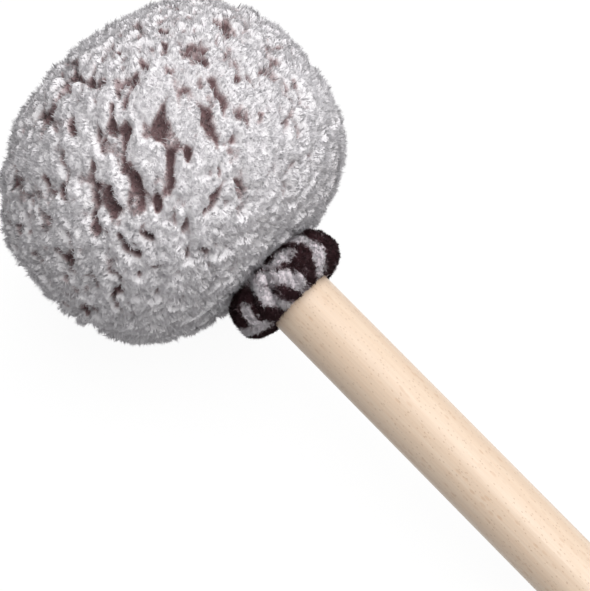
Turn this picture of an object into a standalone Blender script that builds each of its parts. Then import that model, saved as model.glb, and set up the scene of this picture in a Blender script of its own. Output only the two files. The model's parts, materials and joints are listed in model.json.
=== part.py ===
"""Gong mallet: a fleece-covered head on a beech handle, lying at rest on a surface.

Units are metres and +Z is up. Every piece is modelled about the mallet's own axis, whose Z runs
from the butt of the handle to the front of the head and whose +X is the upper side. One empty
lays that axis down, so that the head's cover and the butt's lower rim touch the surface at Z = 0.
"""

from math import acos, atan2, cos, hypot, pi, radians, sin, tau

import bmesh
import bpy

# Driving dimensions of the handle
HANDLE_DIAMETER = 0.0254
GRIP_LENGTH = 0.254
BUTT_ROUNDING = 0.003
TENON_DIAMETER = 0.020
TENON_CHAMFER = 0.0008

# Driving dimensions of the head's cover
HEAD_DIAMETER = 0.1308
HEAD_WIDEST = GRIP_LENGTH + 0.0745
HEAD_FRONT = 0.049
HEAD_BACK = 0.0573
FRONT_ROUNDNESS = 2.1
BACK_ROUNDNESS = 2.78
PILE_SIDE = 0.0145
PILE_FRONT = 0.012
PILE_BACK = 0.0085
NECK_DIAMETER = 0.0292
NECK_END = GRIP_LENGTH + 0.0025
PRESSED_DEPTH = 0.003

# Driving dimensions of the gathered cuff
CUFF_DIAMETER = 0.0488
CUFF_LENGTH = 0.0167
CUFF_ROUNDNESS = 2.6
CUFF_HEM = 0.0016
CORD_SPACE_DIAMETER = 0.034
FOLD_DEPTH = 0.0034
FOLD_SLANT = radians(24)
FOLD_FULLNESS = 0.6
FOLD_END_PULL = 0.12
FOLD_VALLEYS = tuple(radians(angle) for angle in (-92, -33, -12, 16, 47, 74, 108, 144, 180, 222))

# Driving dimensions of the neck cord
CORD_DIAMETER = 0.0016
CORD_TURNS = 5
CORD_PITCH = 0.0021
CORD_POINTS = 24

# Driving dimensions of what the head holds
CORE_BASE = GRIP_LENGTH + 0.0427
CORE_LENGTH = 0.044
CORE_DIAMETER = 0.040
FLANGE_DIAMETER = 0.056
FLANGE_LENGTH = 0.016
CORE_CHAMFER = 0.001
FELT_THICKNESS = 0.0082
FELT_SEAM = radians(1.0)
REAR_DISC_THICKNESS = 0.0057
FRONT_DISC_THICKNESS = 0.0101
DISC_ROUNDING = 0.002
WASHER_DIAMETER = 0.028
WASHER_THICKNESS = 0.002
SCREW_DIAMETER = 0.0046
SCREW_LENGTH = 0.030
SCREW_HEAD_DIAMETER = 0.0098
SCREW_HEAD_HEIGHT = 0.003
SCREW_RECESS_SIZE = 0.0046
SCREW_RECESS_WIDTH = 0.0011
SCREW_RECESS_DEPTH = 0.0018
SCREW_DOME = 0.65

# Clearance between pieces that touch, and how finely round pieces are cut
GAP = 0.0003
MERGE = 0.00001
ROUND_STEPS = 64
INNER_STEPS = 48
CUFF_STEPS = 80
SMALL_STEPS = 24
POINT_EASING = 0.6
SHARP_ANGLE = radians(32)

HANDLE_RADIUS = HANDLE_DIAMETER / 2
HEAD_RADIUS = HEAD_DIAMETER / 2
NECK_RADIUS = NECK_DIAMETER / 2
BORE_RADIUS = HANDLE_RADIUS + GAP
CUFF_END = GRIP_LENGTH + CUFF_LENGTH
CORE_FRONT = CORE_BASE + CORE_LENGTH
WEIGHT_BASE = CORE_BASE + FLANGE_LENGTH + GAP
WASHER_BASE = CORE_FRONT + GAP
WASHER_FRONT = WASHER_BASE + WASHER_THICKNESS


def clear_scene():
    """Remove every object of the open file."""
    for thing in list(bpy.data.objects):
        bpy.data.objects.remove(thing, do_unlink=True)


def material(name, colour, roughness, metallic=0.0):
    """Principled material with a plain colour."""
    made = bpy.data.materials.new(name)
    made.use_nodes = True
    shader = made.node_tree.nodes["Principled BSDF"]
    shader.inputs["Base Color"].default_value = (*colour, 1.0)
    shader.inputs["Roughness"].default_value = roughness
    shader.inputs["Metallic"].default_value = metallic
    made.diffuse_color = (*colour, 1.0)
    return made


def rounded(radius, height, centre, roundness, start, end, count):
    """Points (radius, z) of a superellipse quarter, closer together near its start and end."""
    points = []
    power = 2 / roundness
    for index in range(count + 1):
        share = index / count
        share += POINT_EASING * (share * share * (3 - 2 * share) - share)
        angle = start + (end - start) * share
        across = max(cos(angle), 0.0) ** power
        along = max(sin(angle), 0.0) ** power
        points.append((radius * across, centre + height * along))
    return points


def angle_at_radius(radius, widest, roundness):
    """Angle at which a superellipse quarter has narrowed to a radius."""
    return acos((radius / widest) ** (roundness / 2))


def head_outline(inset_side, inset_front, inset_back, neck, front_points, back_points):
    """Points down the head's outer side, from its front pole to where it meets the neck."""
    widest = HEAD_RADIUS - inset_side
    front = rounded(widest, HEAD_FRONT - inset_front, HEAD_WIDEST, FRONT_ROUNDNESS, pi / 2, 0.0, front_points)
    front[0] = (0.0, front[0][1])
    last = angle_at_radius(neck, widest, BACK_ROUNDNESS)
    back = rounded(widest, inset_back - HEAD_BACK, HEAD_WIDEST, BACK_ROUNDNESS, 0.0, last, back_points)
    return front + back[1:]


def butt_rim():
    """Points down the butt's rounded rim, from the handle's side to its flat end."""
    centre = HANDLE_RADIUS - BUTT_ROUNDING
    points = []
    for index in range(5):
        angle = pi / 2 * index / 4
        points.append((centre + BUTT_ROUNDING * cos(angle), BUTT_ROUNDING * (1 - sin(angle))))
    return points


def turned(name, points, look, steps=INNER_STEPS, loop=False):
    """Solid turned about the mallet's axis from points that run down its outer side."""
    edges = [(index, index + 1) for index in range(len(points) - 1)]
    if loop:
        edges.append((len(points) - 1, 0))
    mesh = bpy.data.meshes.new(name)
    mesh.from_pydata([(radius, 0.0, z) for radius, z in points], edges, [])
    mesh.materials.append(look)
    piece = place(name, mesh)
    turn = piece.modifiers.new("Turn", "SCREW")
    turn.steps = steps
    turn.render_steps = steps
    turn.use_merge_vertices = True
    turn.merge_threshold = MERGE
    return piece


def place(name, data):
    """Object in the mallet's collection, on the mallet's axis."""
    piece = bpy.data.objects.new(name, data)
    parts.objects.link(piece)
    piece.parent = axis
    return piece


def cut(piece, cutter):
    """Take a cutter's shape out of a piece."""
    cutters.objects.link(cutter)
    cutter.hide_render = True
    cutter.display_type = "WIRE"
    boolean = piece.modifiers.new("Cut", "BOOLEAN")
    boolean.operation = "DIFFERENCE"
    boolean.solver = "EXACT"
    boolean.object = cutter


def box(name, size):
    """Box centred on its own origin, with its size applied."""
    mesh = bpy.data.meshes.new(name)
    shape = bmesh.new()
    bmesh.ops.create_cube(shape, size=1.0)
    bmesh.ops.scale(shape, vec=size, verts=shape.verts)
    shape.to_mesh(mesh)
    shape.free()
    return bpy.data.objects.new(name, mesh)


def settle(piece):
    """Keep a piece's evaluated mesh, shaded smooth with its true edges sharp."""
    bpy.context.view_layer.update()
    evaluated = piece.evaluated_get(bpy.context.evaluated_depsgraph_get())
    mesh = bpy.data.meshes.new_from_object(evaluated)
    mesh.name = piece.name
    piece.modifiers.clear()
    piece.data = mesh
    mesh.shade_smooth()
    mesh.set_sharp_from_angle(angle=SHARP_ANGLE)


def lowest(points, slope):
    """Lowest height of a turned outline when the axis slopes by an angle."""
    return min(z * sin(slope) - radius * cos(slope) for radius, z in points)


def resting_slope(head, rim):
    """Slope at which the rim touches the surface and the head is pressed in by its depth."""
    low, high = 0.0, radians(30)
    for _ in range(60):
        slope = (low + high) / 2
        if lowest(head, slope) - lowest(rim, slope) < -PRESSED_DEPTH:
            low = slope
        else:
            high = slope
    return slope


def lay_down(head, rim):
    """Empty that lays the axis down at rest, centred over the origin."""
    slope = resting_slope(head, rim)
    outline = head + rim
    far = min(-radius * sin(slope) - z * cos(slope) for radius, z in outline)
    near = max(radius * sin(slope) - z * cos(slope) for radius, z in outline)
    empty = bpy.data.objects.new("mallet_axis", None)
    empty.rotation_euler = (0.0, slope - pi / 2, 0.0)
    empty.location = (-(far + near) / 2, 0.0, -lowest(rim, slope))
    return empty


def make_handle():
    """Beech dowel with a rounded butt and, in the core, a tenon with a pilot hole."""
    look = material("beech", (0.80, 0.60, 0.42), 0.42)
    tenon = TENON_DIAMETER / 2
    pilot = SCREW_DIAMETER / 2 + GAP
    tenon_front = CORE_FRONT - GAP
    shoulder = CORE_BASE - GAP
    points = [
        (0.0, WASHER_FRONT - SCREW_LENGTH - 2 * GAP),
        (pilot, WASHER_FRONT - SCREW_LENGTH + SCREW_DIAMETER / 2),
        (pilot, tenon_front),
        (tenon - TENON_CHAMFER, tenon_front),
        (tenon, tenon_front - TENON_CHAMFER),
        (tenon, shoulder),
        (HANDLE_RADIUS, shoulder),
    ]
    turned("handle", points + butt_rim() + [(0.0, 0.0)], look, steps=ROUND_STEPS)


def make_core():
    """Hardwood core: a barrel with a flange at its base, bored for the handle's tenon."""
    look = material("core_wood", (0.42, 0.25, 0.13), 0.6)
    bore = TENON_DIAMETER / 2 + GAP
    barrel = CORE_DIAMETER / 2
    flange = FLANGE_DIAMETER / 2
    step = CORE_BASE + FLANGE_LENGTH
    points = [
        (bore, CORE_FRONT),
        (barrel - CORE_CHAMFER, CORE_FRONT),
        (barrel, CORE_FRONT - CORE_CHAMFER),
        (barrel, step),
        (flange, step),
        (flange, CORE_BASE + CORE_CHAMFER),
        (flange - CORE_CHAMFER, CORE_BASE),
        (bore, CORE_BASE),
    ]
    turned("core", points, look, loop=True)


def make_core_weight():
    """Steel ring that slides on the core's barrel down to the flange."""
    look = material("weight_steel", (0.42, 0.43, 0.45), 0.35, 1.0)
    inner = CORE_DIAMETER / 2 + GAP
    outer = FLANGE_DIAMETER / 2
    front = CORE_FRONT - GAP
    points = [
        (inner, front),
        (outer - CORE_CHAMFER, front),
        (outer, front - CORE_CHAMFER),
        (outer, WEIGHT_BASE + CORE_CHAMFER),
        (outer - CORE_CHAMFER, WEIGHT_BASE),
        (inner, WEIGHT_BASE),
    ]
    turned("core_weight", points, look, loop=True)


def make_retaining_washer():
    """Steel washer that spans the tenon and the core's front end."""
    look = material("washer_steel", (0.62, 0.63, 0.65), 0.3, 1.0)
    hole = SCREW_DIAMETER / 2 + GAP
    points = [
        (hole, WASHER_FRONT),
        (WASHER_DIAMETER / 2, WASHER_FRONT),
        (WASHER_DIAMETER / 2, WASHER_BASE),
        (hole, WASHER_BASE),
    ]
    turned("retaining_washer", points, look, loop=True)


def make_core_screw():
    """Pan-head screw through the washer into the handle's end grain, with a cross recess."""
    look = material("screw_steel", (0.55, 0.56, 0.58), 0.3, 1.0)
    seat = WASHER_FRONT + GAP
    head = SCREW_HEAD_DIAMETER / 2
    shank = SCREW_DIAMETER / 2
    tip = seat - SCREW_LENGTH
    points = [(0.0, seat + SCREW_HEAD_HEIGHT)]
    points += [
        (head * sin(angle), seat + SCREW_HEAD_HEIGHT * (1 - SCREW_DOME + SCREW_DOME * cos(angle)))
        for angle in (radians(35), radians(60), radians(90))
    ]
    points += [(head, seat), (shank, seat), (shank, tip + 2 * shank), (0.0, tip)]
    screw = turned("core_screw", points, look, steps=SMALL_STEPS)
    for index in range(2):
        slot = box(f"recess_{index}", (SCREW_RECESS_SIZE, SCREW_RECESS_WIDTH, 2 * SCREW_RECESS_DEPTH))
        slot.parent = axis
        slot.location.z = seat + SCREW_HEAD_HEIGHT
        slot.rotation_euler.z = index * pi / 2
        cut(screw, slot)


def make_felt_sleeve():
    """Felt strip wrapped once round the core, its ends meeting in a seam below."""
    look = material("sleeve_felt", (0.55, 0.52, 0.46), 0.95)
    inner = FLANGE_DIAMETER / 2 + GAP
    mesh = bpy.data.meshes.new("felt_sleeve")
    mesh.from_pydata([(inner, 0.0, CORE_FRONT), (inner, 0.0, CORE_BASE)], [(0, 1)], [])
    mesh.materials.append(look)
    sleeve = place("felt_sleeve", mesh)
    sleeve.rotation_euler.z = pi
    wrap = sleeve.modifiers.new("Wrap", "SCREW")
    wrap.angle = tau - FELT_SEAM
    wrap.steps = INNER_STEPS
    wrap.render_steps = INNER_STEPS
    wrap.use_merge_vertices = False
    thick = sleeve.modifiers.new("Thickness", "SOLIDIFY")
    thick.thickness = FELT_THICKNESS
    thick.offset = 1.0
    thick.use_even_offset = True


def disc_points(bore, radius, base, front):
    """Half section of a bored felt disc with rounded outer edges."""
    return [
        (bore, front),
        (radius - DISC_ROUNDING, front),
        (radius, front - DISC_ROUNDING),
        (radius, base + DISC_ROUNDING),
        (radius - DISC_ROUNDING, base),
        (bore, base),
    ]


def make_rear_felt_disc():
    """Felt disc behind the core, bored for the handle."""
    look = material("rear_felt", (0.50, 0.47, 0.42), 0.95)
    radius = FLANGE_DIAMETER / 2 + GAP + FELT_THICKNESS
    front = CORE_BASE - GAP
    points = disc_points(BORE_RADIUS, radius, front - REAR_DISC_THICKNESS, front)
    turned("rear_felt_disc", points, look, loop=True)


def make_front_felt_disc():
    """Felt disc over the core's front end, hollowed where the washer and screw sit."""
    look = material("front_felt", (0.58, 0.55, 0.49), 0.95)
    radius = FLANGE_DIAMETER / 2 + GAP + FELT_THICKNESS
    base = CORE_FRONT + GAP
    front = base + FRONT_DISC_THICKNESS
    washer_pocket = WASHER_DIAMETER / 2 + GAP
    screw_pocket = SCREW_HEAD_DIAMETER / 2 + GAP
    screw_top = WASHER_FRONT + 2 * GAP + SCREW_HEAD_HEIGHT
    points = [
        (0.0, front),
        (radius - DISC_ROUNDING, front),
        (radius, front - DISC_ROUNDING),
        (radius, base + DISC_ROUNDING),
        (radius - DISC_ROUNDING, base),
        (washer_pocket, base),
        (washer_pocket, WASHER_FRONT + GAP),
        (screw_pocket, WASHER_FRONT + GAP),
        (screw_pocket, screw_top),
        (0.0, screw_top),
    ]
    turned("front_felt_disc", points, look)


def make_batting():
    """Soft padding that fills the space between the felt and the fleece."""
    look = material("batting", (0.74, 0.72, 0.68), 1.0)
    hollow = FLANGE_DIAMETER / 2 + FELT_THICKNESS + 2 * GAP
    hollow_front = CORE_FRONT + FRONT_DISC_THICKNESS + 2 * GAP
    hollow_base = CORE_BASE - REAR_DISC_THICKNESS - 2 * GAP
    outline = head_outline(PILE_SIDE + GAP, PILE_FRONT + GAP, PILE_BACK + GAP, BORE_RADIUS, 7, 7)
    points = outline + [
        (BORE_RADIUS, hollow_base),
        (hollow, hollow_base),
        (hollow, hollow_front),
        (0.0, hollow_front),
    ]
    turned("batting", points, look)


def make_fleece_cover(outline):
    """Plush cover: its pile's outer form, and the neck that runs under the cuff."""
    look = material("fleece", (0.56, 0.54, 0.56), 1.0)
    lining = head_outline(PILE_SIDE, PILE_FRONT, PILE_BACK, BORE_RADIUS, 7, 7)
    neck = [(NECK_RADIUS, NECK_END), (BORE_RADIUS, NECK_END)]
    return turned("fleece_cover", outline + neck + lining[::-1], look, steps=ROUND_STEPS)


def flatten_where_it_rests(cover):
    """Press the cover flat where it lies on the surface."""
    depth = 2 * HEAD_RADIUS
    floor = box("surface", (2 * depth, 2 * depth, depth))
    floor.location = (axis.matrix_world.translation.x - HEAD_WIDEST, 0.0, -depth / 2)
    cut(cover, floor)


def make_neck_cord():
    """Cord wound round the cover's neck, one unbroken helix under the cuff."""
    look = material("cord", (0.10, 0.07, 0.06), 0.9)
    around = NECK_RADIUS + GAP + CORD_DIAMETER / 2
    start = GRIP_LENGTH + (CUFF_LENGTH - CORD_TURNS * CORD_PITCH) / 2
    points = []
    for index in range(CORD_TURNS * CORD_POINTS + 1):
        angle = tau * index / CORD_POINTS
        points.append((around * cos(angle), around * sin(angle), start + CORD_PITCH * angle / tau))
    curve = bpy.data.curves.new("neck_cord", "CURVE")
    curve.dimensions = "3D"
    curve.bevel_depth = CORD_DIAMETER / 2
    curve.bevel_resolution = 1
    curve.use_fill_caps = True
    spline = curve.splines.new("POLY")
    spline.points.add(len(points) - 1)
    for point, place_at in zip(spline.points, points):
        point.co = (*place_at, 1.0)
    curve.materials.append(look)
    place("neck_cord", curve)
    print(f"neck cord: least gap between turns {least_gap(points) * 1000:.2f} mm")


def least_gap(points):
    """Least space between the cord's surface and a later turn of it."""
    apart = CORD_POINTS // 2
    nearest = min(
        hypot(*(a - b for a, b in zip(points[first], points[second])))
        for first in range(len(points))
        for second in range(first + apart, len(points))
    )
    return nearest - CORD_DIAMETER


def fold_puff(angle, z):
    """How far the cuff stands out, 0 in a valley between folds to 1 on a fold's crest."""
    middle = GRIP_LENGTH + CUFF_LENGTH / 2
    angle += FOLD_SLANT * (middle - z) / CUFF_LENGTH
    first = FOLD_VALLEYS[0]
    angle = first + (angle - first) % tau
    bounds = FOLD_VALLEYS + (first + tau,)
    for low, high in zip(bounds, bounds[1:]):
        if low <= angle < high:
            return sin(pi * (angle - low) / (high - low)) ** FOLD_FULLNESS
    return 0.0


def make_neck_cuff():
    """Gathered hem of the cover: a fat ring whose folds run across it, hollow for the cord."""
    look = material("cuff_fleece", (0.16, 0.12, 0.125), 1.0)
    mouth = NECK_RADIUS + 2 * GAP
    cord_space = CORD_SPACE_DIAMETER / 2
    middle = GRIP_LENGTH + CUFF_LENGTH / 2
    half = CUFF_LENGTH / 2
    bulge = CUFF_DIAMETER / 2 - mouth
    front = rounded(bulge, half, middle, CUFF_ROUNDNESS, pi / 2, 0.0, 5)
    back = rounded(bulge, -half, middle, CUFF_ROUNDNESS, 0.0, pi / 2, 5)
    points = [(mouth + radius, z) for radius, z in front + back[1:]]
    points += [
        (BORE_RADIUS, GRIP_LENGTH + CUFF_HEM / 3),
        (BORE_RADIUS, GRIP_LENGTH + CUFF_HEM),
        (cord_space, GRIP_LENGTH + CUFF_HEM + GAP),
        (cord_space, CUFF_END - CUFF_HEM - GAP),
        (mouth, CUFF_END - CUFF_HEM),
    ]
    cuff = turned("neck_cuff", points, look, steps=CUFF_STEPS, loop=True)
    settle(cuff)
    for vertex in cuff.data.vertices:
        x, y, z = vertex.co
        radius = hypot(x, y)
        outer = min(max((radius - cord_space) / (CUFF_DIAMETER / 2 - cord_space), 0.0), 1.0)
        valley = outer * (1.0 - fold_puff(atan2(y, x), z))
        scale = 1.0 - FOLD_DEPTH * valley / radius
        vertex.co.x = x * scale
        vertex.co.y = y * scale
        vertex.co.z = middle + (z - middle) * (1.0 - FOLD_END_PULL * valley)


clear_scene()
parts = bpy.data.collections.new("gong_mallet")
cutters = bpy.data.collections.new("cutters")
bpy.context.scene.collection.children.link(parts)
bpy.context.scene.collection.children.link(cutters)

cover_outline = head_outline(0.0, 0.0, 0.0, NECK_RADIUS, 11, 10)
axis = lay_down(cover_outline, butt_rim())
parts.objects.link(axis)
bpy.context.view_layer.update()

make_handle()
make_core()
make_core_weight()
make_retaining_washer()
make_core_screw()
make_felt_sleeve()
make_rear_felt_disc()
make_front_felt_disc()
make_batting()
fleece_cover = make_fleece_cover(cover_outline)
flatten_where_it_rests(fleece_cover)
make_neck_cord()
make_neck_cuff()

for solid in parts.objects:
    if solid.type == "MESH":
        settle(solid)
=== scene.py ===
"""The gong mallet's looks: a frosted plush head and its gathered cuff on a satin beech handle."""

import json
from itertools import product
from math import asin, atan, cos, pi, radians, sin, tau

import bpy
import numpy as np
from mathutils import Matrix, Vector

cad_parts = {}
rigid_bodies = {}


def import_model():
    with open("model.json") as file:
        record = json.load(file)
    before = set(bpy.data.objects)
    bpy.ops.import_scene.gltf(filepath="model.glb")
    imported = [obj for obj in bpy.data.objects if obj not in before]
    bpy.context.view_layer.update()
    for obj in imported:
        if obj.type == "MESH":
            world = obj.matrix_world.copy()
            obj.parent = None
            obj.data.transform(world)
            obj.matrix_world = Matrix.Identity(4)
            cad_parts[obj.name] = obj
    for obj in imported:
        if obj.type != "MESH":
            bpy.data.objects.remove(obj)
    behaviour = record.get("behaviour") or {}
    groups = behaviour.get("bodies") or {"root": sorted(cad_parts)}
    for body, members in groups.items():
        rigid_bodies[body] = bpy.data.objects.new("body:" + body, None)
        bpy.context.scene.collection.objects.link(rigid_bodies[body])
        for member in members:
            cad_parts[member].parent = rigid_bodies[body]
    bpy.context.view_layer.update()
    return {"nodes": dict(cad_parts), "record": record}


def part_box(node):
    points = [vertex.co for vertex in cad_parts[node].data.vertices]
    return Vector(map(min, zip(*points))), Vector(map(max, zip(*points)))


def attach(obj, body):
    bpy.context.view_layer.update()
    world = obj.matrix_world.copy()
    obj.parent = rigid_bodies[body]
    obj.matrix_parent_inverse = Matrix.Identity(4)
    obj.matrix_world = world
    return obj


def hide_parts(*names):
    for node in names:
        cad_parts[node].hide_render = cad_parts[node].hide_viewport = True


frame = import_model()

# The mallet's lie: the head's cover and the butt's lower rim touch the surface, so the axis slopes.
# Everything round the axis is worked out in the mallet's own frame, with Z from the butt to the
# head and +X on its upper side, and then laid down with it.
mounts = {mount["name"]: mount for mount in frame["record"]["mounts"]}
butt = Vector(mounts["butt_end"]["pos_m"])
toward_head = -Vector(mounts["butt_end"]["axis"]).normalized()
across = Vector((0.0, 1.0, 0.0))
upward = across.cross(toward_head)
slope = asin(toward_head.z)
lie = Matrix((upward, across, toward_head)).transposed().to_4x4()
lie.translation = butt


# Handle: a turned beech dowel with a rounded butt, sanded and sealed to a satin finish.
# Its grain runs from butt to head, with short darker ray flecks and fine pores.
# Its tenon goes into the core and its shoulder bears on the core's flange.
class Wire:
    """A socket of one finish, on which sums are written as plain expressions."""

    def __init__(self, finish, socket):
        self.finish = finish
        self.socket = socket

    def sum(self, operation, *values):
        return self.finish.node("ShaderNodeMath", {"operation": operation}, values)

    def __add__(self, other):
        return self.sum("ADD", self, other)

    def __radd__(self, other):
        return self.sum("ADD", other, self)

    def __sub__(self, other):
        return self.sum("SUBTRACT", self, other)

    def __rsub__(self, other):
        return self.sum("SUBTRACT", other, self)

    def __mul__(self, other):
        return self.sum("MULTIPLY", self, other)

    def __rmul__(self, other):
        return self.sum("MULTIPLY", other, self)


class Finish:
    """One material, or the studio's world, and its nodes, each made by the same method."""

    def __init__(self, name, library="materials"):
        self.material = getattr(bpy.data, library).new(name)
        self.material.use_nodes = True
        self.tree = self.material.node_tree
        self.tree.nodes.clear()

    def node(self, kind, settings=None, sockets=(), output=0):
        made = self.tree.nodes.new(kind)
        for key, setting in (settings or {}).items():
            if key == "stops":
                ramp = made.color_ramp
                while len(ramp.elements) < len(setting):
                    ramp.elements.new(1.0)
                for element, (place, colour) in zip(ramp.elements, setting):
                    element.position = place
                    element.color = (*colour, 1.0)
            else:
                setattr(made, key, setting)
        named = sockets.items() if isinstance(sockets, dict) else enumerate(sockets)
        for key, value in named:
            if isinstance(value, Wire):
                self.tree.links.new(value.socket, made.inputs[key])
            else:
                made.inputs[key].default_value = value
        return Wire(self, made.outputs[output]) if made.outputs else None

    def place(self, scale=(1.0, 1.0, 1.0)):
        """Object coordinates in the mallet's own frame, stretched by a scale."""
        here = self.node("ShaderNodeTexCoord", output=3)
        settled = {"Vector": here, "Location": butt, "Rotation": (0.0, slope - pi / 2, 0.0)}
        own = self.node("ShaderNodeMapping", {"vector_type": "TEXTURE"}, settled)
        return self.node("ShaderNodeVectorMath", {"operation": "MULTIPLY"}, [own, scale])

    def noise(self, vector, detail=2.0, roughness=0.5, distortion=0.0):
        sockets = {"Vector": vector, "Scale": 1.0, "Detail": detail, "Roughness": roughness}
        sockets["Distortion"] = distortion
        return self.node("ShaderNodeTexNoise", {}, sockets)

    def between(self, value, low, high, to_low=0.0, to_high=1.0):
        """Value smoothly turned from one span to another."""
        sockets = {0: value, 1: low, 2: high, 3: to_low, 4: to_high}
        return self.node("ShaderNodeMapRange", {"interpolation_type": "SMOOTHSTEP"}, sockets)

    def blend(self, factor, first, second, mode="MIX"):
        """Colour between two colours."""
        colours = [c if isinstance(c, Wire) else (*c, 1.0) for c in (first, second)]
        settings = {"data_type": "RGBA", "blend_type": mode}
        return self.node("ShaderNodeMix", settings, {0: factor, 6: colours[0], 7: colours[1]}, 2)

    def surface(self, sockets, bump=None, strength=0.3, depth=0.0003):
        """Principled surface, with a bump where one is given."""
        if bump is not None:
            relief = {"Height": bump, "Strength": strength, "Distance": depth}
            sockets = {**sockets, "Normal": self.node("ShaderNodeBump", {}, relief)}
        shader = self.node("ShaderNodeBsdfPrincipled", {}, sockets)
        self.node("ShaderNodeOutputMaterial", {}, {"Surface": shader})
        return self.material


def finish_node(name, material):
    """Give a piece of the frame its finish."""
    slots = frame["nodes"][name].data.materials
    slots.clear()
    slots.append(material)


def beech_finish():
    """Pale beech: long soft streaks, fine fibre, short darker ray flecks and pores."""
    beech = Finish("satin_beech")
    streaks = beech.noise(beech.place((210.0, 210.0, 6.0)), 3.0, 0.55)
    fibre = beech.noise(beech.place((1500.0, 1500.0, 70.0)), 2.0, 0.6)
    fleck_place = beech.place((560.0, 560.0, 190.0))
    fleck_spot = beech.node("ShaderNodeTexVoronoi", {}, {"Vector": fleck_place, "Scale": 1.0})
    fleck_patch = beech.noise(beech.place((140.0, 140.0, 40.0)), 2.0)
    flecks = beech.between(fleck_spot, 0.34, 0.16) * beech.between(fleck_patch, 0.44, 0.62)
    pore_place = beech.place((980.0, 980.0, 500.0))
    pore_spot = beech.node("ShaderNodeTexVoronoi", {}, {"Vector": pore_place, "Scale": 1.0})
    pores = beech.between(pore_spot, 0.27, 0.12)
    wood = beech.blend(beech.between(streaks, 0.38, 0.64), (0.69, 0.535, 0.405), (0.775, 0.625, 0.49))
    wood = beech.blend(beech.between(fibre, 0.35, 0.75) * 0.35, wood, (0.72, 0.52, 0.37))
    wood = beech.blend(flecks * 0.50, wood, (0.55, 0.36, 0.23))
    wood = beech.blend(pores * 0.50, wood, (0.44, 0.29, 0.19))
    relief = fibre * 0.4 - flecks * 0.5 - pores * 0.8
    sockets = {
        "Base Color": wood,
        "Roughness": beech.between(fibre, 0.3, 0.8, 0.36, 0.46),
        "Coat Weight": 0.12,
        "Coat Roughness": 0.36,
        "Specular IOR Level": 0.4,
    }
    return beech.surface(sockets, relief, 0.18, 0.0002)


finish_node("handle", beech_finish())


# Core: a turned hardwood block with a flange, inside the head. It is drilled through for the
# handle's tenon, which is glued and drawn up by a screw, and nothing of it shows.
def core_finish():
    """Plain brown hardwood with turning marks round it."""
    wood = Finish("turned_hardwood")
    grain = wood.noise(wood.place((300.0, 300.0, 14.0)), 3.0)
    turning = wood.noise(wood.place((4.0, 4.0, 1800.0)), 1.0)
    colour = wood.blend(grain, (0.34, 0.19, 0.09), (0.50, 0.31, 0.17))
    sockets = {"Base Color": colour, "Roughness": wood.between(grain, 0.3, 0.7, 0.5, 0.65)}
    return wood.surface(sockets, turning, 0.25, 0.0002)


finish_node("core", core_finish())


# Core weight, washer and screw: plain steel. The ring slides over the core's barrel to its flange
# and makes the head heavy; the washer and the pan-head screw hold the core on the tenon.
def steel_finish(name, colour, roughness):
    """Turned steel with fine rings and a little dulling."""
    steel = Finish(name)
    rings = steel.noise(steel.place((6.0, 6.0, 5000.0)), 2.0)
    dulling = steel.noise(steel.place((240.0, 240.0, 240.0)), 3.0)
    darker = tuple(0.72 * part for part in colour)
    sockets = {
        "Base Color": steel.blend(dulling, darker, colour),
        "Metallic": 1.0,
        "Roughness": steel.between(dulling, 0.3, 0.7, roughness - 0.06, roughness + 0.1),
    }
    return steel.surface(sockets, rings, 0.15, 0.0001)


finish_node("core_weight", steel_finish("turned_steel", (0.42, 0.43, 0.45), 0.36))
finish_node("retaining_washer", steel_finish("zinc_plate", (0.62, 0.63, 0.65), 0.3))
finish_node("core_screw", steel_finish("screw_zinc", (0.55, 0.56, 0.58), 0.28))


# Felt sleeve and discs: dense wool felt, cut from sheet. The sleeve is one strip wrapped round the
# weight with a butt seam; the discs close it in front of and behind the core.
def felt_finish(name, colour, fibre_size):
    """Matted wool: soft blotches and a fine tangle of fibres."""
    felt = Finish(name)
    blotches = felt.noise(felt.place((180.0, 180.0, 180.0)), 2.0)
    tangle = felt.noise(felt.place((fibre_size,) * 3), 4.0, 0.65, 1.5)
    darker = tuple(0.7 * part for part in colour)
    sockets = {
        "Base Color": felt.blend(blotches * 0.5 + tangle * 0.5, darker, colour),
        "Roughness": felt.between(tangle, 0.3, 0.7, 0.9, 1.0),
        "Specular IOR Level": 0.2,
    }
    return felt.surface(sockets, tangle, 0.6, 0.0005)


finish_node("felt_sleeve", felt_finish("sleeve_felt", (0.58, 0.55, 0.48), 1500.0))
finish_node("rear_felt_disc", felt_finish("disc_felt", (0.53, 0.50, 0.44), 1700.0))
finish_node("front_felt_disc", felt_finish("front_felt", (0.60, 0.57, 0.50), 1400.0))


# Batting: loose white polyester padding that rounds the head between the felt and the plush. It is
# wrapped round the felt before the cover is drawn over it.
finish_node("batting", felt_finish("batting_fluff", (0.80, 0.79, 0.76), 900.0))


# Neck cord: a dark waxed cord of twisted strands. It is wound five times round the cover's neck,
# under the cuff, and drawn tight, which holds the cover on the handle.
def cord_finish():
    """Dark twisted cord, its strands slanting across it."""
    cord = Finish("waxed_cord")
    strands = cord.noise(cord.place((2600.0, 2600.0, 5200.0)), 2.0)
    sockets = {
        "Base Color": cord.blend(strands, (0.05, 0.035, 0.03), (0.15, 0.11, 0.09)),
        "Roughness": cord.between(strands, 0.3, 0.7, 0.6, 0.85),
    }
    return cord.surface(sockets, strands, 0.5, 0.0002)


finish_node("neck_cord", cord_finish())


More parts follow.
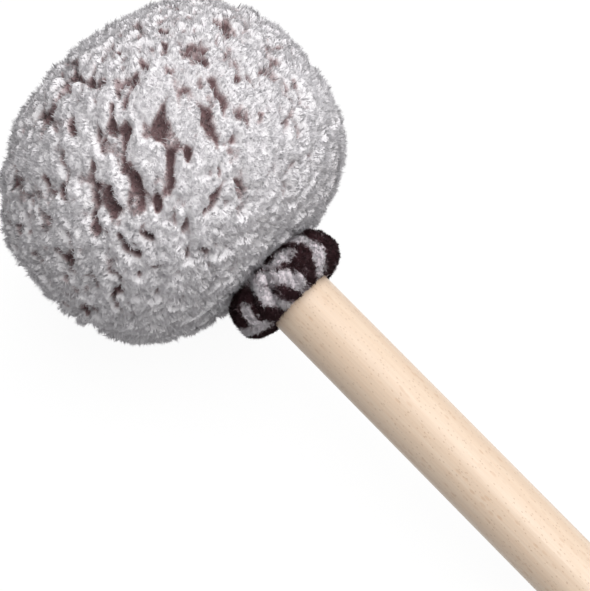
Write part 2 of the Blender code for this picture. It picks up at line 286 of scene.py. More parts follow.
# Fleece cover: frosted long-pile plush, sewn to a ball and drawn in at the neck. Its backing and
# the lower pile are dark maroon and the tips nearly white, so dark shows only in the gaps between
# clumps. This is the body of the pile, pressed flat where it lies; the tufts stand on it.
cover_low, cover_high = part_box("fleece_cover")
HEAD_RADIUS = (cover_high.y - cover_low.y) / 2
HEAD_WIDEST = 0.3285
HEAD_FRONT = 0.049
HEAD_BACK = 0.0573
FRONT_ROUNDNESS = 2.1
BACK_ROUNDNESS = 2.78
NECK_RADIUS = 0.0146
NECK_TOP = 0.2705
NECK_END = 0.2565
BORE_RADIUS = 0.013
BORE_TOP = 0.2790
CREST_DEPTH = 0.0010
GAP_DEPTH = 0.0068
COMB = np.array((0.0, 0.703, 0.711))
COMB_STRETCH = 0.45
PARTING_STRETCH = 0.60
STREAK_STRETCH = 0.50
CLUMP_SIZE = 0.0072
SMALL_CLUMP_SIZE = 0.0036
SWELL_SIZE = 0.011
RUFFLE_SIZE = 0.0021
PARTING_SIZE = 0.0037
WANDER_SIZE = 0.0042
COVER_ROWS = 290
COVER_STEPS = 520
LINING_THINNER = (0.0144, 0.0119, 0.0084)
LINING_ROWS = 40
NECK_ANGLE = pi - atan(NECK_RADIUS / HEAD_BACK)
GAP_COLOUR = (0.21, 0.135, 0.138)
HALO_COLOUR = (0.48, 0.385, 0.39)
CREST_COLOUR = (0.93, 0.91, 0.925)


def scramble(cells, seed):
    """Three repeatable numbers from 0 to 1 for each whole-number cell."""
    x, y, z = cells.astype(np.int64).T
    mixed = (x * 73856093) ^ (y * 19349663) ^ (z * 83492791) ^ (seed * 40503)
    mixed = mixed.astype(np.uint32)
    numbers = []
    for _ in range(3):
        mixed = (mixed ^ (mixed >> np.uint32(15))) * np.uint32(2246822519)
        mixed = (mixed ^ (mixed >> np.uint32(13))) * np.uint32(3266489917)
        mixed = mixed ^ (mixed >> np.uint32(16))
        numbers.append(mixed / 4294967296.0)
    return np.stack(numbers, axis=1)


def drift(points, seed):
    """Smooth noise of about -0.7 to 0.7, with one swell a unit."""
    cells = np.floor(points)
    inside = points - cells
    ease = inside**3 * (inside * (inside * 6 - 15) + 10)
    total = np.zeros(len(points))
    for corner in product((0, 1), repeat=3):
        corner = np.array(corner)
        slopes = scramble(cells + corner, seed) * 2 - 1
        weight = np.prod(np.where(corner, ease, 1 - ease), axis=1)
        total += weight * np.sum(slopes * (inside - corner), axis=1)
    return total


def puffs(points, seed):
    """Rounded puffs about a unit apart: 1 in a puff's middle, 0 or less where puffs meet."""
    cells = np.floor(points)
    nearest = np.full(len(points), 9.0)
    for corner in product((-1, 0, 1), repeat=3):
        middles = cells + np.array(corner) + scramble(cells + np.array(corner), seed)
        nearest = np.minimum(nearest, np.sum((points - middles) ** 2, axis=1))
    return 1 - nearest / 0.6


def combed(points, stretch):
    """Points drawn together along the comb, so that what is laid on them is stretched along it."""
    return points - COMB * (points @ COMB)[:, None] * stretch


def fluff(points):
    """How high the clumps of pile stand, 0 in a gap to 1 on a crest."""
    drawn = combed(points, COMB_STRETCH)
    wander = np.stack([drift(drawn / WANDER_SIZE, seed) for seed in (11, 12, 13)], axis=1)
    drawn = drawn + 0.0026 * wander
    height = 0.225 + 0.56 * puffs(drawn / CLUMP_SIZE, 14) + 0.36 * puffs(drawn / SMALL_CLUMP_SIZE, 15)
    height = height + 0.34 * drift(drawn / SWELL_SIZE, 16) + 0.16 * drift(drawn / RUFFLE_SIZE, 17)
    parted = combed(points, PARTING_STRETCH) + 0.0014 * wander
    partings = np.clip(-drift(parted / PARTING_SIZE, 21) - 0.05, 0.0, 1.0)
    height = height - 1.95 * partings
    smoother = np.clip((-0.024 - points[:, 2]) / 0.020, 0.0, 1.0) * 0.22
    return np.clip(height + smoother, 0.0, 1.0)


def maroon_and_painted_shade_streaks(points):
    """How far the colour is darkened in soft streaks that fade towards the neck: partly the maroon lower
    pile showing through, partly painted shade of the partings.
    """
    wander = np.stack([drift(points / 0.0050, seed) for seed in (24, 25, 26)], axis=1)
    drawn = combed(points, STREAK_STRETCH) + 0.0020 * wander
    darkening = np.clip(-drift(drawn / 0.0062, 23) - 0.05, 0.0, 1.0) * 1.6
    darkening = darkening + np.clip(-drift(drawn / 0.0030, 27) - 0.08, 0.0, 1.0) * 1.4
    return np.clip(darkening, 0.0, 0.36) * np.clip((points[:, 2] + 0.048) / 0.022, 0.10, 1.0)


def head_form(directions, thickness=(0.0, 0.0, 0.0)):
    """Points and outward normals of the pile's outer form, or of a form inside it."""
    side = np.maximum(np.hypot(directions[:, 0], directions[:, 1]), 1e-9)
    along = np.abs(directions[:, 2])
    ahead = directions[:, 2] > 0
    radius = HEAD_RADIUS - thickness[0]
    length = np.where(ahead, HEAD_FRONT - thickness[1], HEAD_BACK - thickness[2])
    power = np.where(ahead, FRONT_ROUNDNESS, BACK_ROUNDNESS)
    reach = ((side / radius) ** power + (along / length) ** power) ** (-1 / power)
    radial = (side * reach) ** (power - 1) / radius**power / side
    axial = (along * reach) ** (power - 1) / length**power * np.sign(directions[:, 2])
    normals = np.stack([directions[:, 0] * radial, directions[:, 1] * radial, axial], axis=1)
    normals /= np.linalg.norm(normals, axis=1)[:, None]
    return directions * reach[:, None], normals


def laid_down(points, lowest=0.0003):
    """Points of the mallet's own frame where they lie in the world, none below the surface."""
    placed = points @ np.array(lie.to_3x3()).T + np.array(lie.translation)
    placed[:, 2] = np.maximum(placed[:, 2], lowest)
    return placed


def heading(polar, around):
    """Directions from the head's centre by the angle from its front and the angle round it."""
    parts = (np.sin(polar) * np.cos(around), np.sin(polar) * np.sin(around), np.cos(polar))
    return np.stack(parts, axis=1)


def even_rows(last, rows):
    """Angles from the head's front to its neck, evenly spaced along the outer form."""
    angles = np.linspace(0.012, last, 3000)
    line, _ = head_form(heading(angles, 0 * angles))
    run = np.concatenate([[0], np.cumsum(np.linalg.norm(np.diff(line, axis=0), axis=1))])
    return np.interp(np.linspace(0, run[-1], rows), run, angles)


def ring(radius, z, steps):
    """One ring of points round the mallet's axis."""
    turns = np.arange(steps) * tau / steps
    return np.stack([radius * np.cos(turns), radius * np.sin(turns), 0 * turns + z], axis=1)


def joined_rings(name, points, rows, steps, looped=False):
    """Mesh of rings one after another, with a pole at each end or the last joined to the first."""
    last = rows if looped else rows - 1
    row, step = np.meshgrid(np.arange(last), np.arange(steps), indexing="ij")
    ahead, beside = (step + 1) % steps, (row + 1) % rows
    corners = (row * steps + step, beside * steps + step, beside * steps + ahead, row * steps + ahead)
    faces = np.stack(corners, axis=-1).reshape(-1, 4).tolist()
    if not looped:
        end, final = rows * steps, (rows - 1) * steps
        faces += [(end, k, (k + 1) % steps) for k in range(steps)]
        faces += [(end + 1, final + (k + 1) % steps, final + k) for k in range(steps)]
    mesh = bpy.data.meshes.new(name)
    mesh.from_pydata(points.tolist(), [], faces)
    mesh.shade_smooth()
    return mesh


def with_value(mesh, name, values):
    """Store one number a point, or one vector."""
    values = np.asarray(values, dtype=np.float32)
    kind, field = ("FLOAT_VECTOR", "vector") if values.ndim == 2 else ("FLOAT", "value")
    mesh.attributes.new(name, kind, "POINT").data.foreach_set(field, values.ravel())


def new_piece(name, mesh, material):
    """A piece in the scene, riding with the mallet."""
    piece = bpy.data.objects.new(name, mesh)
    bpy.context.scene.collection.objects.link(piece)
    mesh.materials.clear()
    mesh.materials.append(material)
    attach(piece, "root")
    return piece


def attribute(finish, name):
    """A number stored on the points of the piece."""
    return finish.node("ShaderNodeAttribute", {"attribute_name": name}, {}, 2)


def fleece_skin_finish():
    """The lower pile: pale on the clumps, pinkish brown at their edges, maroon in the gaps, and darker
    in the streaks, which are partly painted shade.
    """
    skin = Finish("frosted_fleece_ground")
    speck = skin.noise(skin.place((1800.0,) * 3), 3.0, 0.6)
    height = attribute(skin, "fluff") + (speck - 0.5) * 0.3
    stops = ((0.06, GAP_COLOUR), (0.26, HALO_COLOUR), (0.48, CREST_COLOUR))
    colour = skin.node("ShaderNodeValToRGB", {"stops": stops}, {"Fac": height})
    sockets = {"Base Color": colour, "Roughness": skin.between(speck, 0.3, 0.7, 0.85, 1.0)}
    sockets["Specular IOR Level"] = 0.1
    return skin.surface(sockets, speck, 0.8, 0.0008)


head_middle = np.array((0.0, 0.0, HEAD_WIDEST))
cover_turns = np.arange(COVER_STEPS) * tau / COVER_STEPS
polar, around = np.meshgrid(even_rows(NECK_ANGLE, COVER_ROWS), cover_turns, indexing="ij")
outer_form, outer_normals = head_form(heading(polar.ravel(), around.ravel()))
outer_fluff = fluff(outer_form)
depth = GAP_DEPTH + (CREST_DEPTH - GAP_DEPTH) * outer_fluff
outer_skin = outer_form - outer_normals * depth[:, None] + head_middle
polar, around = np.meshgrid(even_rows(NECK_ANGLE, LINING_ROWS)[::-1], cover_turns, indexing="ij")
lining = head_form(heading(polar.ravel(), around.ravel()), LINING_THINNER)[0] + head_middle
neck = (
    (NECK_RADIUS, NECK_TOP),
    (NECK_RADIUS, NECK_END),
    (BORE_RADIUS, NECK_END),
    (BORE_RADIUS, BORE_TOP),
)
poles = [outer_skin[:COVER_STEPS].mean(axis=0), lining[-COVER_STEPS:].mean(axis=0)]
neck_rings = [ring(radius, z, COVER_STEPS) for radius, z in neck]
cover_points = np.concatenate([outer_skin, *neck_rings, lining, poles])
cover_rows = COVER_ROWS + len(neck) + LINING_ROWS
cover_mesh = joined_rings("fleece_body", laid_down(cover_points), cover_rows, COVER_STEPS)
cover_fluff_and_shade = np.full(len(cover_points), 0.4)
# The skin's colour darkens in the streaks, where the skin doesn't sink: partly maroon lower pile, partly
# painted shade.
cover_fluff_and_shade[: len(outer_fluff)] = outer_fluff - maroon_and_painted_shade_streaks(outer_form)
with_value(cover_mesh, "fluff", cover_fluff_and_shade)
fleece_body = new_piece("fleece_body", cover_mesh, fleece_skin_finish())
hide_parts("fleece_cover")


# Fleece pile: the same plush's upper pile, in soft tufts of curled fibre. Each tuft leans from the
# gaps to the crest of its clump, dark at its root and white at its tip. It is cut in gores, as the
# cover is, and drawn together at the front.
TUFT_KINDS = 8
TUFT_HEIGHT = 0.0022
TUFT_SPREAD = 0.00065
FIBRE_WIDTH = 0.00026
FIBRES = 6
FIBRE_PARTS = 3
SEED_SPACING = 0.00112
SEED_ROWS = 157
GORES = 8
FLEECE_STOPS = (
    (0.03, (0.27, 0.185, 0.19)),
    (0.20, (0.47, 0.39, 0.40)),
    (0.38, (0.78, 0.745, 0.765)),
    (0.62, (0.97, 0.955, 0.98)),
)


def tuft_mesh(name, seed, height, spread, width):
    """One tuft: a few curled ribbons that spread from a root."""
    chance = np.random.default_rng(seed)
    points, faces, along = [], [], []
    for _ in range(FIBRES):
        turn, lean = chance.uniform(0, tau), chance.uniform(0.1, 0.75)
        root = np.array((*chance.uniform(-spread, spread, 2), -0.12 * height))
        out = np.array((cos(turn), sin(turn), 0.0))
        facing = chance.uniform(0, tau)
        flat = np.array((cos(facing), sin(facing), 0.0))
        curl = chance.uniform(-0.6, 0.6)
        reach = height * chance.uniform(0.7, 1.15)
        first = len(points)
        for part in range(FIBRE_PARTS + 1):
            share = part / FIBRE_PARTS
            aside = np.array((-out[1], out[0], 0.0)) * curl * share**2
            at = root + reach * (out * lean * share**1.6 + aside * 0.5 + np.array((0, 0, share)))
            half = flat * width * (1 - 0.35 * share) / 2
            if part < FIBRE_PARTS:
                points += [at - half, at + half]
                along += [share, share]
            else:
                points.append(at)
                along.append(1.0)
        for part in range(FIBRE_PARTS - 1):
            low = first + 2 * part
            faces.append((low, low + 1, low + 3, low + 2))
        low = first + 2 * (FIBRE_PARTS - 1)
        faces.append((low, low + 1, low + 2))
    mesh = bpy.data.meshes.new(name)
    mesh.from_pydata([tuple(point) for point in points], [], faces)
    mesh.shade_smooth()
    with_value(mesh, "along", along)
    return mesh


def tuft_collection(name, height, spread, width):
    """The kinds of tuft of one pile, for the pile's tree to pick from."""
    kinds = bpy.data.collections.new(name)
    for kind in range(TUFT_KINDS):
        mesh = tuft_mesh(f"{name}_{kind}", 40 + kind, height, spread, width)
        kinds.objects.link(bpy.data.objects.new(f"{name}_{kind}", mesh))
    return kinds


def pile_tree():
    """Geometry Nodes that plant a tuft on each seed, along its own lean, and keep it off the floor."""
    tree = bpy.data.node_groups.new("planted_pile", "GeometryNodeTree")
    face = tree.interface
    face.new_socket("Seeds", in_out="INPUT", socket_type="NodeSocketGeometry")
    face.new_socket("Tufts", in_out="INPUT", socket_type="NodeSocketCollection")
    face.new_socket("Lowest", in_out="INPUT", socket_type="NodeSocketFloat")
    face.new_socket("Finish", in_out="INPUT", socket_type="NodeSocketMaterial")
    face.new_socket("Pile", in_out="OUTPUT", socket_type="NodeSocketGeometry")

    def add(kind, sockets, **settings):
        made = tree.nodes.new(kind)
        for key, setting in settings.items():
            setattr(made, key, setting)
        for key, value in sockets.items():
            if isinstance(value, bpy.types.NodeSocket):
                tree.links.new(value, made.inputs[key])
            else:
                made.inputs[key].default_value = value
        return made

    def stored(name, data_type):
        return add("GeometryNodeInputNamedAttribute", {"Name": name}, data_type=data_type).outputs[0]

    given = tree.nodes.new("NodeGroupInput").outputs
    axes = {
        "Primary Axis": stored("stands", "FLOAT_VECTOR"),
        "Secondary Axis": stored("leans", "FLOAT_VECTOR"),
    }
    turned = add("FunctionNodeAxesToRotation", axes, primary_axis="Z", secondary_axis="X")
    separate = {"Collection": given["Tufts"], "Separate Children": True, "Reset Children": True}
    tufts = add("GeometryNodeCollectionInfo", separate)
    planted = add("GeometryNodeInstanceOnPoints", {
        "Points": given["Seeds"],
        "Instance": tufts.outputs[0],
        "Pick Instance": True,
        "Instance Index": stored("kind", "INT"),
        "Rotation": turned.outputs[0],
        "Scale": stored("size", "FLOAT_VECTOR"),
    })
    real = add("GeometryNodeRealizeInstances", {"Geometry": planted.outputs[0]})
    where = add("ShaderNodeSeparateXYZ", {0: tree.nodes.new("GeometryNodeInputPosition").outputs[0]})
    kept = add("ShaderNodeMath", {0: where.outputs[2], 1: given["Lowest"]}, operation="MAXIMUM")
    lifted = add("ShaderNodeCombineXYZ", {0: where.outputs[0], 1: where.outputs[1], 2: kept.outputs[0]})
    clear = add("GeometryNodeSetPosition", {"Geometry": real.outputs[0], "Position": lifted.outputs[0]})
    dressed = add("GeometryNodeSetMaterial", {"Geometry": clear.outputs[0], "Material": given["Finish"]})
    add("NodeGroupOutput", {0: dressed.outputs[0]})
    return tree


def planted_pile(name, seeds, tufts, material):
    """Plant one piece of pile from its seeds: where, standing, leaning, size, kind and shade."""
    mesh = bpy.data.meshes.new(name)
    mesh.from_pydata(seeds["where"].tolist(), [], [])
    for field in ("stands", "leans", "size", "shade"):
        with_value(mesh, field, seeds[field])
    mesh.attributes.new("kind", "INT", "POINT").data.foreach_set("value", seeds["kind"].astype(np.int32))
    piece = bpy.data.objects.new(name, mesh)
    bpy.context.scene.collection.objects.link(piece)
    modifier = piece.modifiers.new("pile", "NODES")
    modifier.node_group = pile
    names = {socket.name: socket.identifier for socket in pile.interface.items_tree}
    modifier[names["Tufts"]] = tufts
    modifier[names["Lowest"]] = 0.0002
    modifier[names["Finish"]] = material
    bpy.context.view_layer.update()
    grown = piece.evaluated_get(bpy.context.evaluated_depsgraph_get())
    plain = bpy.data.meshes.new_from_object(grown)
    piece.modifiers.clear()
    piece.data = plain
    plain.name = name
    plain.shade_smooth()
    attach(piece, "root")
    return piece


def pile_finish(name, stops, pale_span):
    """Fibre that pales from root to tip, less where its shade is low, which on the head is partly
    painted shade of the gaps and streaks; lit as the soft mass that it is.
    """
    fibre = Finish(name)
    rise = attribute(fibre, "shade") * 0.86 + attribute(fibre, "along") * 0.16
    colour = fibre.node("ShaderNodeValToRGB", {"stops": stops}, {"Fac": rise})
    soft = fibre.node("ShaderNodeAttribute", {"attribute_name": "stands"}, {}, 1)
    own = fibre.node("ShaderNodeNewGeometry", {}, {}, 1)
    half = fibre.node("ShaderNodeVectorMath", {"operation": "SCALE"}, {0: own, 3: 0.18})
    mixed = fibre.node("ShaderNodeVectorMath", {"operation": "ADD"}, [soft, half])
    mixed = fibre.node("ShaderNodeVectorMath", {"operation": "NORMALIZE"}, [mixed])
    sockets = {"Base Color": colour, "Roughness": 0.9, "Specular IOR Level": 0.1, "Normal": mixed}
    front = fibre.node("ShaderNodeBsdfPrincipled", {}, sockets)
    through = fibre.node("ShaderNodeBsdfTranslucent", {}, {"Color": (0.93, 0.91, 0.93, 1.0)})
    factor = fibre.between(rise, *pale_span) * 0.45
    either_side = fibre.node("ShaderNodeMixShader", {}, [factor, front, through])
    fibre.node("ShaderNodeOutputMaterial", {}, {"Surface": either_side})
    return fibre.material


def leaning(points, normals, step=0.0006):
    """Which way a clump's crest lies from each point, along the surface."""
    first = np.cross(normals, np.array((0.31, 0.72, 0.62)))
    first /= np.linalg.norm(first, axis=1)[:, None]
    second = np.cross(normals, first)
    slopes = [fluff(points + step * way) - fluff(points - step * way) for way in (first, second)]
    return (first * slopes[0][:, None] + second * slopes[1][:, None]) / (2 * step)


def fleece_seeds():
    """Seeds in even rows over the head, with the lean and shade of their place."""
    chance = np.random.default_rng(7)
    parts = []
    for angle in even_rows(NECK_ANGLE - 0.01, SEED_ROWS):
        width = head_form(heading(np.array([angle]), np.zeros(1)))[0][0, 0]
        count = max(5, int(tau * width / SEED_SPACING))
        turns = (np.arange(count) + chance.uniform(-0.45, 0.45, count)) * tau / count
        turns = turns + chance.uniform(0, tau)
        tilt = angle + chance.uniform(-0.45, 0.45, count) * SEED_SPACING / 0.055
        parts.append(np.stack([np.clip(tilt, 0.001, NECK_ANGLE), turns], axis=1))
    polar, around = np.concatenate(parts).T
    form, normals = head_form(heading(polar, around))
    height = fluff(form)
    depth = GAP_DEPTH + (CREST_DEPTH - GAP_DEPTH) * height
    uphill = leaning(form, normals) * 0.0040
    length = np.linalg.norm(uphill, axis=1)[:, None]
    uphill *= np.minimum(1.0, 0.9 / np.maximum(length, 1e-6))
    comb = COMB * 0.15 + chance.normal(0, 0.30, form.shape)
    stands = normals + uphill + comb
    stands /= np.linalg.norm(stands, axis=1)[:, None]
    turn = np.array(lie.to_3x3()).T
    size = chance.uniform(0.75, 1.15, len(form)) * (0.75 + 0.28 * height)
    # The tufts' shade drops in the streaks, so their tips darken: partly maroon lower pile, partly
    # painted shade.
    frost_and_shade = height - maroon_and_painted_shade_streaks(form)
    return {
        "where": laid_down(form - normals * (depth + 0.0002)[:, None] + head_middle),
        "stands": stands @ turn,
        "leans": np.cross(stands, chance.normal(0, 1, form.shape)) @ turn,
        "size": np.repeat(size[:, None], 3, axis=1),
        "kind": chance.integers(0, TUFT_KINDS, len(form)),
        "shade": np.clip(frost_and_shade + chance.normal(0, 0.05, len(form)), 0, 1),
        "gore": ((around % tau) / tau * GORES).astype(int) % GORES,
    }


pile = pile_tree()
fleece_tufts = tuft_collection("fleece_tuft", TUFT_HEIGHT, TUFT_SPREAD, FIBRE_WIDTH)
fleece_fibre = pile_finish("frosted_fleece_pile", FLEECE_STOPS, (0.14, 0.45))
all_seeds = fleece_seeds()
for gore in range(GORES):
    chosen = all_seeds["gore"] == gore
    seeds = {field: values[chosen] for field, values in all_seeds.items()}
    fleece_gore = planted_pile(f"fleece_pile_{gore + 1}", seeds, fleece_tufts, fleece_fibre)
    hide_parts("fleece_cover")


# Neck cuff: a gathered ring of the same plush with shorter pile, the cover's hem drawn in over the
# cord. Its folds slant round it, and the frost lies in broken streaks on dark maroon. It stands
# 1.6 mm nearer to the head than the CAD node that it replaces.
CUFF_START = 0.2556
CUFF_LENGTH = 0.0167
CUFF_RADIUS = 0.0236
CUFF_HEM = 0.0016
CUFF_BACK_RADIUS = 0.0172
CUFF_GRIP_RADIUS = 0.0129
CUFF_ROUNDNESS = 2.6
FOLD_DEPTH = 0.0034
FOLD_SLANT = radians(24)
FOLD_FULLNESS = 0.6
FOLD_VALLEYS = np.radians((-92, -33, -12, 16, 47, 74, 108, 144, 180, 222))
CUFF_STEPS = 520
CUFF_ROWS = 60
PHOTO_PIXEL = 0.000364
# Each streak is a width in degrees and its corners: degrees round from the upper side, and pixels
# of the photograph from the cuff's grip end, negative towards the head. The first eight were read
# off the photograph. The last six, on the side that it doesn't show, are made up.
FROST_STREAKS = (
    (7.0, ((-22, -46), (-19, -17), (-14, 0))),
    (8.0, ((-10, -34), (2, -22), (12, -9))),
    (6.0, ((-44, -26), (-50, -11))),
    (5.0, ((-48, -5), (-62, -9), (-79, -19))),
    (3.0, ((-4, -43), (9, -34))),
    (6.0, ((14, -37), (24, -35))),
    (8.0, ((40, -45), (46, -32), (48, -20), (40, -6))),
    (5.0, ((76, -42), (76, -34))),
    (7.0, ((104, -44), (112, -20), (106, -4))),
    (6.0, ((132, -40), (142, -12))),
    (8.0, ((165, -46), (173, -22), (168, -2))),
    (6.0, ((196, -38), (205, -10))),
    (8.0, ((230, -45), (238, -24), (231, -4))),
    (6.0, ((-104, -38), (-97, -12))),
)


def fold_puff(angle, z):
    """How full the cuff is, 0 in a fold's valley to 1 on its crest."""
    angle = angle + FOLD_SLANT * (CUFF_START + CUFF_LENGTH / 2 - z) / CUFF_LENGTH
    valleys = np.concatenate([FOLD_VALLEYS, FOLD_VALLEYS[:1] + tau])
    angle = (angle - valleys[0]) % tau + valleys[0]
    place = np.clip(np.searchsorted(valleys, angle, side="right") - 1, 0, len(valleys) - 2)
    share = (angle - valleys[place]) / (valleys[place + 1] - valleys[place])
    return np.sin(pi * np.clip(share, 0, 1)) ** FOLD_FULLNESS


def cuff_form(angle, share):
    """Points of the cuff's outer form, by the angle round it and the share from grip to head."""
    z = CUFF_START + CUFF_LENGTH * share
    bulge = (1 - np.abs(2 * share - 1) ** CUFF_ROUNDNESS) ** (1 / CUFF_ROUNDNESS)
    ends = CUFF_GRIP_RADIUS + (NECK_RADIUS - CUFF_GRIP_RADIUS) * share
    full = CUFF_RADIUS - FOLD_DEPTH * (1 - fold_puff(angle, z))
    radius = ends + (full - ends) * bulge
    points = np.stack([radius * np.cos(angle), radius * np.sin(angle), z], axis=1)
    crumple = 0.0008 * drift(points / 0.0022, 31) + 0.0006 * drift(points / 0.0045, 32)
    radius = radius + crumple * bulge
    return np.stack([radius * np.cos(angle), radius * np.sin(angle), z], axis=1)


def frost(points):
    """How white the cuff's pile is, by the streaks drawn on it."""
    around = np.arctan2(points[:, 1], points[:, 0])
    ragged = np.stack([drift(points / 0.0016, seed) for seed in (33, 34)], axis=1) * 0.0016
    value = np.zeros(len(points))
    arc = CUFF_RADIUS * radians(1)
    for width, corners in FROST_STREAKS:
        for (turn_a, s_a), (turn_b, s_b) in zip(corners, corners[1:]):
            start = np.array((turn_a * arc, -s_a * PHOTO_PIXEL))
            end = np.array((turn_b * arc, -s_b * PHOTO_PIXEL))
            middle = radians(turn_a)
            unrolled = ((around - middle + pi) % tau - pi + middle) * CUFF_RADIUS
            flat = np.stack([unrolled, points[:, 2] - CUFF_START], axis=1) + ragged
            step = end - start
            share = np.clip((flat - start) @ step / (step @ step), 0, 1)
            away = np.linalg.norm(flat - start - share[:, None] * step, axis=1)
            value = np.maximum(value, np.clip(1.45 - away / (width * arc) * 1.05, 0, 1))
    fine = np.stack([around * CUFF_RADIUS / 0.0009, points[:, 2] / 0.0032, points[:, 2] * 0], axis=1)
    return np.clip(value + 0.75 * drift(fine, 35), 0, 1)


def cuff_ground_finish():
    """Dark maroon ground of the gathered plush, paler under the streaks."""
    ground = Finish("cuff_ground")
    speck = ground.noise(ground.place((1600.0,) * 3), 3.0, 0.6)
    pale = ground.between(attribute(ground, "shade") + (speck - 0.5) * 0.5, 0.35, 0.85)
    colour = ground.blend(pale, (0.035, 0.015, 0.018), (0.70, 0.64, 0.67))
    sockets = {"Base Color": colour, "Roughness": ground.between(speck, 0.3, 0.7, 0.85, 1.0)}
    sockets["Specular IOR Level"] = 0.1
    return ground.surface(sockets, speck, 0.8, 0.0006)


shares = (1 - np.cos(np.linspace(0.02, pi - 0.02, CUFF_ROWS))) / 2
share, around = np.meshgrid(shares, np.arange(CUFF_STEPS) * tau / CUFF_STEPS, indexing="ij")
cuff_outer = cuff_form(around.ravel(), share.ravel())
cuff_end = CUFF_START + CUFF_LENGTH
inside = (
    (NECK_RADIUS, cuff_end - CUFF_HEM),
    (CUFF_BACK_RADIUS, cuff_end - CUFF_HEM),
    (CUFF_BACK_RADIUS, CUFF_START + CUFF_HEM),
    (CUFF_GRIP_RADIUS, CUFF_START + CUFF_HEM),
)
cuff_points = np.concatenate([cuff_outer, *[ring(radius, z, CUFF_STEPS) for radius, z in inside]])
cuff_frost = frost(cuff_points)
cuff_mesh = joined_rings("cuff_body", laid_down(cuff_points), CUFF_ROWS + len(inside), CUFF_STEPS, True)
cuff_mesh.flip_normals()
with_value(cuff_mesh, "shade", cuff_frost)
cuff_body = new_piece("cuff_body", cuff_mesh, cuff_ground_finish())
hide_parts("neck_cuff")


# Cuff pile: short curled fibre on the gathered ring, white in the streaks and maroon elsewhere. It
# is planted by the same tree as the head's pile.
CUFF_SEEDS = 9000
CUFF_TUFT_HEIGHT = 0.0015
CUFF_TUFT_SPREAD = 0.0005
CUFF_FIBRE_WIDTH = 0.00028
CUFF_STOPS = (
    (0.25, (0.045, 0.020, 0.023)),
    (0.50, (0.26, 0.19, 0.205)),
    (0.72, (0.80, 0.75, 0.79)),
    (0.95, (0.96, 0.93, 0.96)),
)


def cuff_seeds():
    """Seeds over the cuff's outer side, with the streaks' shade."""
    chance = np.random.default_rng(19)
    around = chance.uniform(0, tau, CUFF_SEEDS)
    share = (1 - np.cos(chance.uniform(0.10, pi - 0.04, CUFF_SEEDS))) / 2
    points = cuff_form(around, share)
    nudge = 1e-4
    round_it = cuff_form(around + nudge / CUFF_RADIUS, share) - points
    along_it = cuff_form(around, np.clip(share + nudge / CUFF_LENGTH, 0, 1)) - points
    normals = np.cross(round_it, along_it)
    normals /= np.maximum(np.linalg.norm(normals, axis=1), 1e-12)[:, None]
    sweep = along_it / np.maximum(np.linalg.norm(along_it, axis=1), 1e-12)[:, None]
    stands = normals + 0.25 * sweep + chance.normal(0, 0.35, points.shape)
    stands /= np.linalg.norm(stands, axis=1)[:, None]
    turn = np.array(lie.to_3x3()).T
    size = chance.uniform(0.7, 1.15, CUFF_SEEDS)
    return {
        "where": laid_down(points - normals * 0.0003),
        "stands": stands @ turn,
        "leans": np.cross(stands, chance.normal(0, 1, points.shape)) @ turn,
        "size": np.repeat(size[:, None], 3, axis=1),
        "kind": chance.integers(0, TUFT_KINDS, CUFF_SEEDS),
        "shade": np.clip(frost(points) + chance.normal(0, 0.10, CUFF_SEEDS), 0, 1),
    }


cuff_tufts = tuft_collection("cuff_tuft", CUFF_TUFT_HEIGHT, CUFF_TUFT_SPREAD, CUFF_FIBRE_WIDTH)
cuff_fibre = pile_finish("frosted_cuff_pile", CUFF_STOPS, (0.50, 0.90))
cuff_pile = planted_pile("cuff_pile", cuff_seeds(), cuff_tufts, cuff_fibre)
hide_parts("neck_cuff")
for kinds in (fleece_tufts, cuff_tufts):
    for tuft in list(kinds.objects):
        bpy.data.objects.remove(tuft)
    bpy.data.collections.remove(kinds)


# Floor: a plain white surface that the mallet rests on, under it and far past the picture's edges.
# It isn't part of the mallet.
FLOOR_HALF = 4.0


def seen_directly(finish):
    """1 on what the camera sees, straight or in a glossy or clear surface."""
    rays = [finish.node("ShaderNodeLightPath", {}, {}, kind) for kind in (0, 3, 6)]
    return rays[0] + rays[1] + rays[2]


def floor_finish():
    """White floor that keeps a soft shadow and clips to white elsewhere."""
    white = Finish("white_floor")
    plain = white.node("ShaderNodeBsdfDiffuse", {}, {"Color": (0.45, 0.45, 0.45, 1.0)})
    bright = white.node("ShaderNodeEmission", {}, {"Strength": 1.19})
    mixed = white.node("ShaderNodeMixShader", {}, [seen_directly(white) * 0.78, plain, bright])
    white.node("ShaderNodeOutputMaterial", {}, {"Surface": mixed})
    return white.material


corners = [(x * FLOOR_HALF, y * FLOOR_HALF, 0.0) for x, y in ((-1, -1), (1, -1), (1, 1), (-1, 1))]
floor_mesh = bpy.data.meshes.new("floor")
floor_mesh.from_pydata(corners, [], [(0, 1, 2, 3)])
floor_mesh.materials.append(floor_finish())
floor = bpy.data.objects.new("floor", floor_mesh)
bpy.context.scene.collection.objects.link(floor)


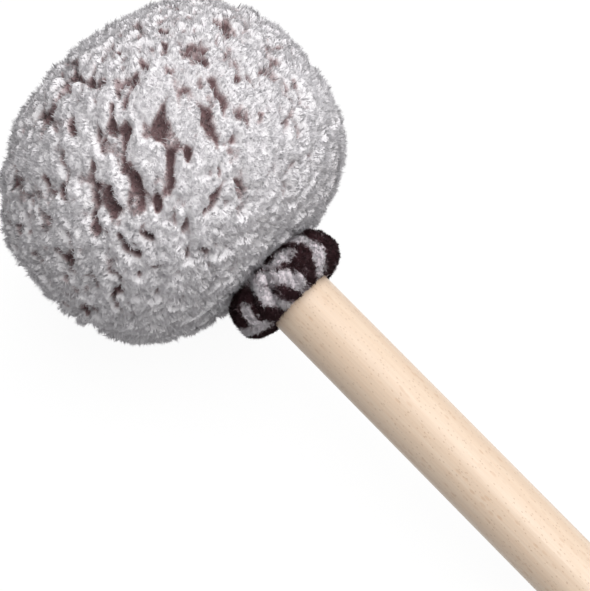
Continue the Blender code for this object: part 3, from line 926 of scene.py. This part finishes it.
# Camera: close above the mallet, square to its axis but for a small tilt towards the butt, and
# turned so that the handle leaves by the picture's lower right corner.
CAMERA_DISTANCE = 0.45
CAMERA_TILT = radians(6.5)
HALF_WIDTH = 0.10738
AIM_ALONG = 0.25844
AIM_ACROSS = -0.00013
outward = -toward_head
view_axis = upward * cos(CAMERA_TILT) + outward * sin(CAMERA_TILT)
down_handle = outward * cos(CAMERA_TILT) - upward * sin(CAMERA_TILT)
picture_right = 0.7028 * down_handle + 0.7114 * across
picture_up = -0.7114 * down_handle + 0.7028 * across
aim = butt + toward_head * AIM_ALONG + across * AIM_ACROSS
camera = bpy.data.cameras.new("camera")
camera.sensor_fit = "HORIZONTAL"
camera.angle = 2 * atan(HALF_WIDTH / CAMERA_DISTANCE)
camera_stand = bpy.data.objects.new("camera", camera)
camera_stand.matrix_world = Matrix((picture_right, picture_up, view_axis)).transposed().to_4x4()
camera_stand.location = aim + view_axis * CAMERA_DISTANCE
bpy.context.scene.collection.objects.link(camera_stand)
bpy.context.scene.camera = camera_stand


# Light: one large soft lamp from the picture's upper right, and an even pale world round it.
# What the camera sees of the world, straight or reflected, is plain white.
LAMP_DISTANCE = 1.5
LAMP_SIZE = 1.5
LAMP_POWER = 25.5
WORLD_LEVEL = 0.42
toward_lamp = (view_axis * 0.85 + picture_up * 0.48 + picture_right * 0.34).normalized()
lamp = bpy.data.lights.new("soft_lamp", "AREA")
lamp.shape = "SQUARE"
lamp.size = LAMP_SIZE
lamp.energy = LAMP_POWER
lamp_stand = bpy.data.objects.new("soft_lamp", lamp)
lamp_stand.rotation_euler = toward_lamp.to_track_quat("Z", "Y").to_euler()
lamp_stand.location = aim + toward_lamp * LAMP_DISTANCE
bpy.context.scene.collection.objects.link(lamp_stand)

studio = Finish("pale_studio", "worlds")
white = (1.0, 1.0, 1.0, 1.0)
fill = studio.node("ShaderNodeBackground", {}, {"Color": white, "Strength": WORLD_LEVEL})
backdrop = studio.node("ShaderNodeBackground", {}, {"Color": white, "Strength": 1.0})
seen = studio.node("ShaderNodeMixShader", {}, [seen_directly(studio), fill, backdrop])
studio.node("ShaderNodeOutputWorld", {}, {"Surface": seen})
bpy.context.scene.world = studio.material
bpy.context.scene.view_settings.view_transform = "Standard"
